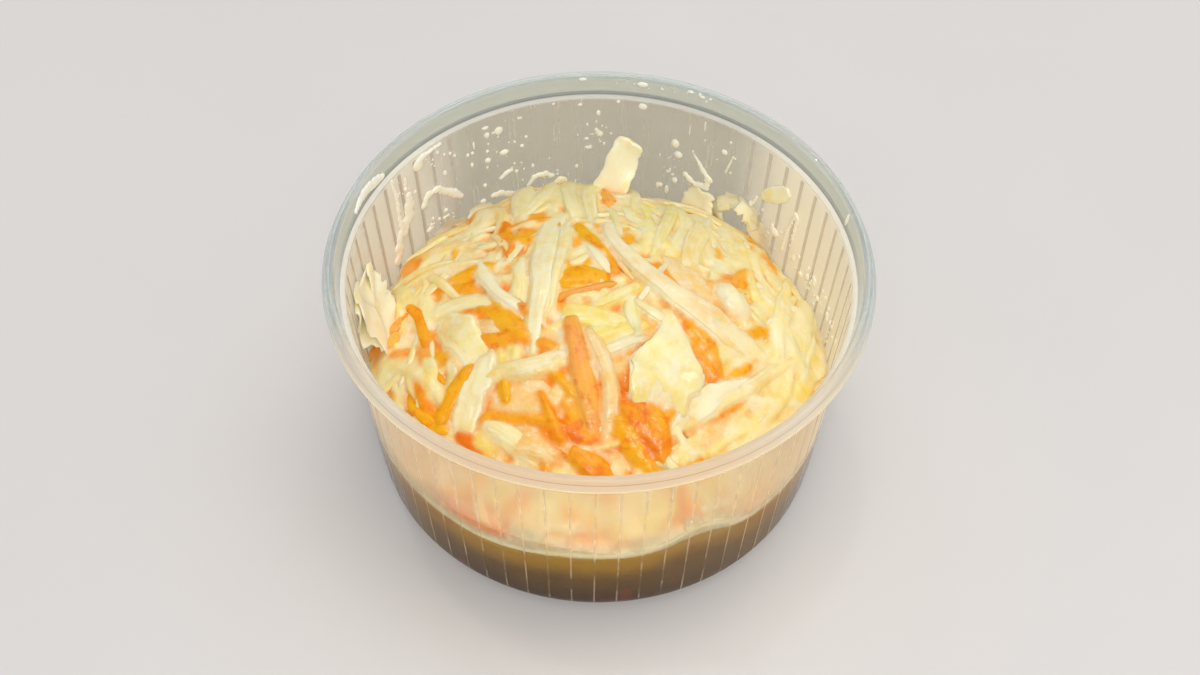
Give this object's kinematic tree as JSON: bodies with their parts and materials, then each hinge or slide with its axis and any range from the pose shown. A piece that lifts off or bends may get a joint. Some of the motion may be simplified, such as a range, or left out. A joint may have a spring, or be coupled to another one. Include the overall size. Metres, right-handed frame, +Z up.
{
  "type": "coleslaw in tub",
  "caption": "Creamy shredded cabbage and carrot salad heaped in a clear, round, ribbed plastic tub with a lid seat and turned-down lip.",
  "frame": {"origin": "on the surface the tub stands on, under the centre of its base", "axes": "+Z up, out of the tub's mouth; -Y towards the side from which the heap is seen first, with the highest tongue of pooled dressing just to its right; +X to the right of that"},
  "size_m": [0.101, 0.101, 0.051],
  "materials": {
    "clear_plastic": "clear, slightly warm moulded polypropylene, glossy",
    "pooled_dressing": "wet, thin dressing soaked through fine shreds",
    "slaw": "moist shreds coated in creamy dressing"
  },
  "bodies": {
    "root": {"tub": "clear_plastic", "dressing": "pooled_dressing", "slaw": "slaw"}
  },
  "joints": []
}
